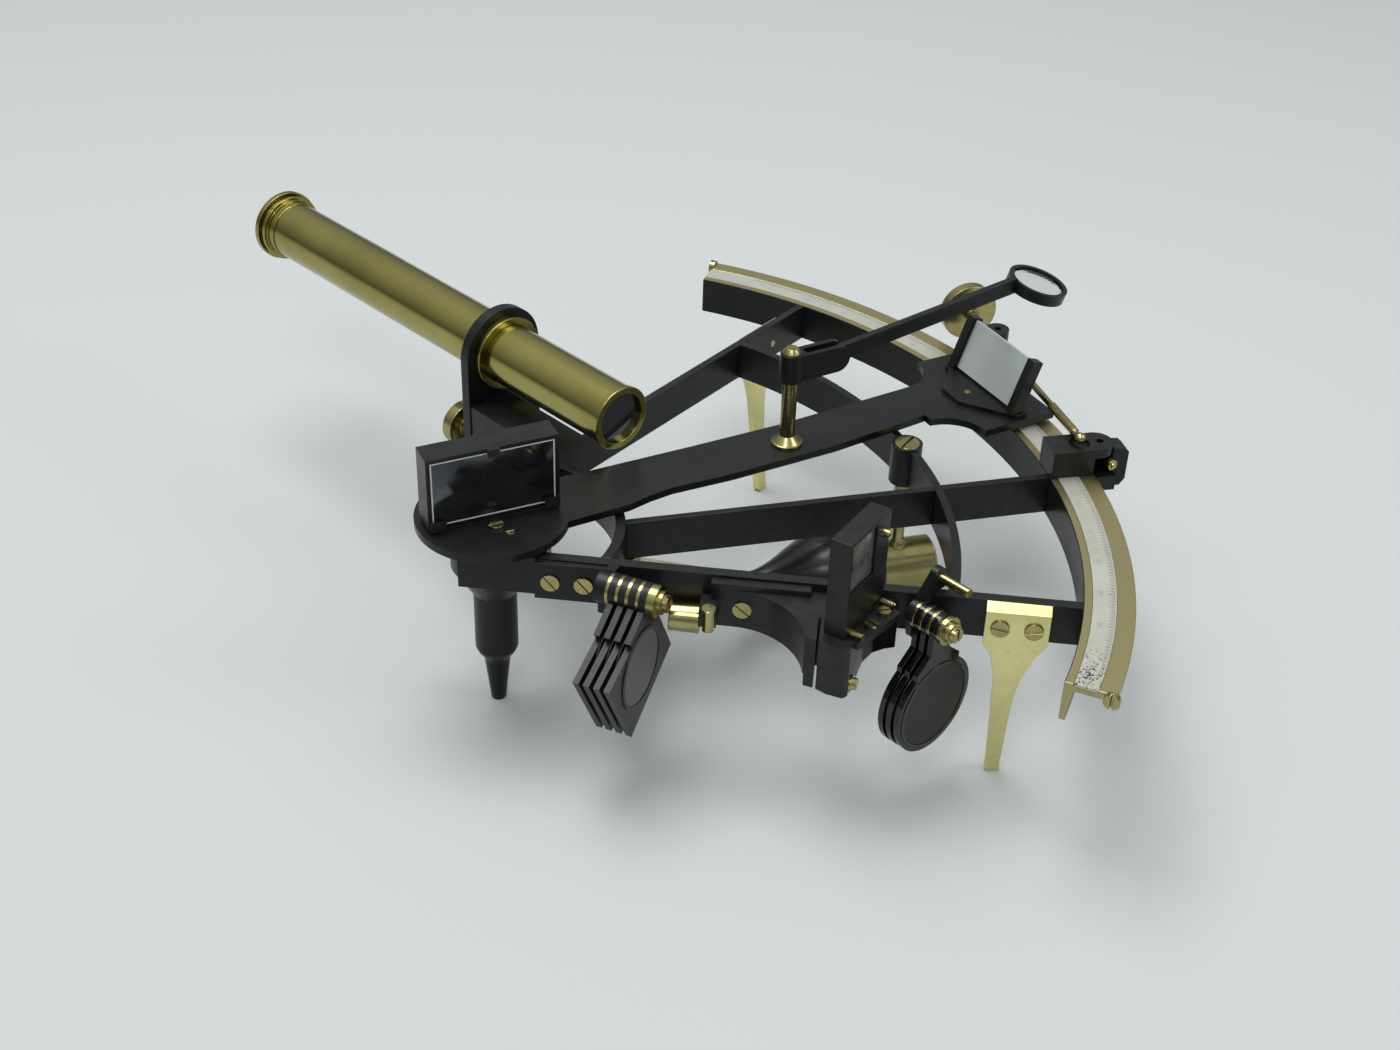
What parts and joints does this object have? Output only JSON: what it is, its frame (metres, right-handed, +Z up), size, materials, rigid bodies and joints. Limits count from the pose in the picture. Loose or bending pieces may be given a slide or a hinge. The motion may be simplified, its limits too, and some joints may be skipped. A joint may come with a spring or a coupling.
{
  "type": "sextant",
  "caption": "Brass sextant with a black lacquered frame, telescope, swinging shades, index arm with mirror, magnifier and tangent screw, standing on its foot and legs.",
  "frame": {"origin": "bottom of the centre foot, on the axis that the index arm turns on", "axes": "+Z up, away from the ground; +X from the index axis towards the middle of the limb"},
  "size_m": [0.2498, 0.358, 0.1178],
  "materials": {
    "black_lacquer": "satin black lacquer on brass",
    "old_brass": "aged, dull",
    "polished_brass": "polished, lacquered",
    "tube_brass": "old golden lacquer",
    "silver": "matt silver",
    "steel": "turned",
    "glass": "clear",
    "ground_glass": "ground",
    "mirror": "silvered glass",
    "handle_black": "glossy black varnish"
  },
  "bodies": {
    "frame": {"limb": "old_brass", "silver_scale": "silver", "front_radial": "black_lacquer", "back_radial": "black_lacquer", "mid_radial": "black_lacquer", "outer_arc_brace": "black_lacquer", "inner_arc_brace": "black_lacquer", "frame_boss": "black_lacquer", "axis_cover": "black_lacquer", "front_leg": "polished_brass", "back_leg": "polished_brass", "leg_screws": "polished_brass", "stop_screws": "old_brass", "telescope_bracket": "black_lacquer", "handle_grip": "handle_black", "handle_ferrule": "polished_brass", "handle_pillar": "polished_brass", "handle_bracket": "old_brass", "handle_screws": "polished_brass", "horizon_bracket": "black_lacquer", "horizon_box": "black_lacquer", "horizon_glass": "glass", "horizon_screws": "old_brass", "side_stud": "old_brass", "index_shade_mount": "black_lacquer", "index_shade_pivot": "old_brass", "horizon_shade_mount": "black_lacquer", "horizon_shade_pivot": "old_brass"},
    "arm": {"index_arm": "black_lacquer", "arm_axle": "steel", "mirror_box": "black_lacquer", "index_mirror": "mirror", "mirror_screws": "old_brass", "vernier": "silver", "reflector_base": "black_lacquer", "reflector_screen": "ground_glass", "magnifier_pillar": "old_brass", "tangent_lug": "black_lacquer"},
    "clamp": {"clamp_block": "black_lacquer", "clamp_spring": "old_brass"},
    "clamp_knob": {"clamp_screw": "old_brass"},
    "fine_screw": {"tangent_screw": "polished_brass"},
    "lens_hub": {"magnifier_hub": "black_lacquer"},
    "lens_arm": {"magnifier_arm": "black_lacquer", "magnifier_lens": "glass"},
    "telescope": {"telescope_riser": "black_lacquer", "telescope_collar": "tube_brass", "telescope_tube": "tube_brass", "objective_cell": "tube_brass", "objective_lens": "glass"},
    "eyepiece": {"eyepiece_tube": "tube_brass", "eyepiece_lens": "glass"},
    "height_knob": {"riser_knob": "polished_brass"},
    "square_1": {"index_shade_1": "black_lacquer"},
    "square_2": {"index_shade_2": "black_lacquer"},
    "square_3": {"index_shade_3": "black_lacquer"},
    "square_4": {"index_shade_4": "black_lacquer"},
    "round_1": {"horizon_shade_1": "black_lacquer"},
    "round_2": {"horizon_shade_2": "black_lacquer"},
    "round_3": {"horizon_shade_3": "black_lacquer"}
  },
  "joints": [
    {"name": "arm_turn", "type": "hinge", "parent": "frame", "child": "arm", "pos_m": [0, 0, 0.0725], "axis": [0, 0, 1], "range_deg": [-32.5, 37]},
    {"name": "clamp_creep", "type": "hinge", "parent": "arm", "child": "clamp", "pos_m": [0, 0, 0.0725], "axis": [0, 0, 1], "range_deg": [-0.43, 0.43]},
    {"name": "fine_turn", "type": "hinge", "parent": "clamp", "child": "fine_screw", "pos_m": [0.19543, -0.03647, 0.083], "axis": [0.0991, 0.9951, 0], "range_deg": [-1080, 1080]},
    {"name": "clamp_knob_turn", "type": "hinge", "parent": "clamp", "child": "clamp_knob", "pos_m": [0.20338, -0.03534, 0.075], "axis": [0.1253, -0.9921, 0], "range_deg": [-180, 180]},
    {"name": "lens_swing", "type": "hinge", "parent": "arm", "child": "lens_hub", "pos_m": [0.10653, 0.00618, 0.0997], "axis": [0, 0, 1], "range_deg": [-15, 30]},
    {"name": "lens_tilt", "type": "hinge", "parent": "lens_hub", "child": "lens_arm", "pos_m": [0.11845, 0.00754, 0.1047], "axis": [0.1132, -0.9936, 0], "range_deg": [-4, 60]},
    {"name": "telescope_rise", "type": "slide", "parent": "frame", "child": "telescope", "axis": [0, 0, 1], "range_m": [-0.001, 0.009]},
    {"name": "height_knob_turn", "type": "hinge", "parent": "frame", "child": "height_knob", "pos_m": [0.01947, 0.0783, 0.056], "axis": [0.3649, -0.9311, 0], "range_deg": [-180, 180]},
    {"name": "focus_draw", "type": "slide", "parent": "telescope", "child": "eyepiece", "axis": [-0.3649, 0.9311, 0], "range_m": [0, 0.012]},
    {"name": "square_shade_1_swing", "type": "hinge", "parent": "frame", "child": "square_1", "pos_m": [0.02468, -0.04269, 0.068], "axis": [-0.6947, 0.7193, 0], "range_deg": [0, 165]},
    {"name": "square_shade_2_swing", "type": "hinge", "parent": "frame", "child": "square_2", "pos_m": [0.02468, -0.04269, 0.068], "axis": [-0.6947, 0.7193, 0], "range_deg": [0, 165]},
    {"name": "square_shade_3_swing", "type": "hinge", "parent": "frame", "child": "square_3", "pos_m": [0.02468, -0.04269, 0.068], "axis": [-0.6947, 0.7193, 0], "range_deg": [0, 165]},
    {"name": "square_shade_4_swing", "type": "hinge", "parent": "frame", "child": "square_4", "pos_m": [0.02468, -0.04269, 0.068], "axis": [-0.6947, 0.7193, 0], "range_deg": [0, 165]},
    {"name": "round_shade_1_swing", "type": "hinge", "parent": "frame", "child": "round_1", "pos_m": [0.10995, -0.08569, 0.066], "axis": [-0.3649, 0.9311, 0], "range_deg": [0, 150]},
    {"name": "round_shade_2_swing", "type": "hinge", "parent": "frame", "child": "round_2", "pos_m": [0.10995, -0.08569, 0.066], "axis": [-0.3649, 0.9311, 0], "range_deg": [0, 150]},
    {"name": "round_shade_3_swing", "type": "hinge", "parent": "frame", "child": "round_3", "pos_m": [0.10995, -0.08569, 0.066], "axis": [-0.3649, 0.9311, 0], "range_deg": [0, 150]}
  ],
  "couplings": [
    {"joint": "clamp_creep", "follows": "fine_turn", "ratio": 0.000392}
  ]
}
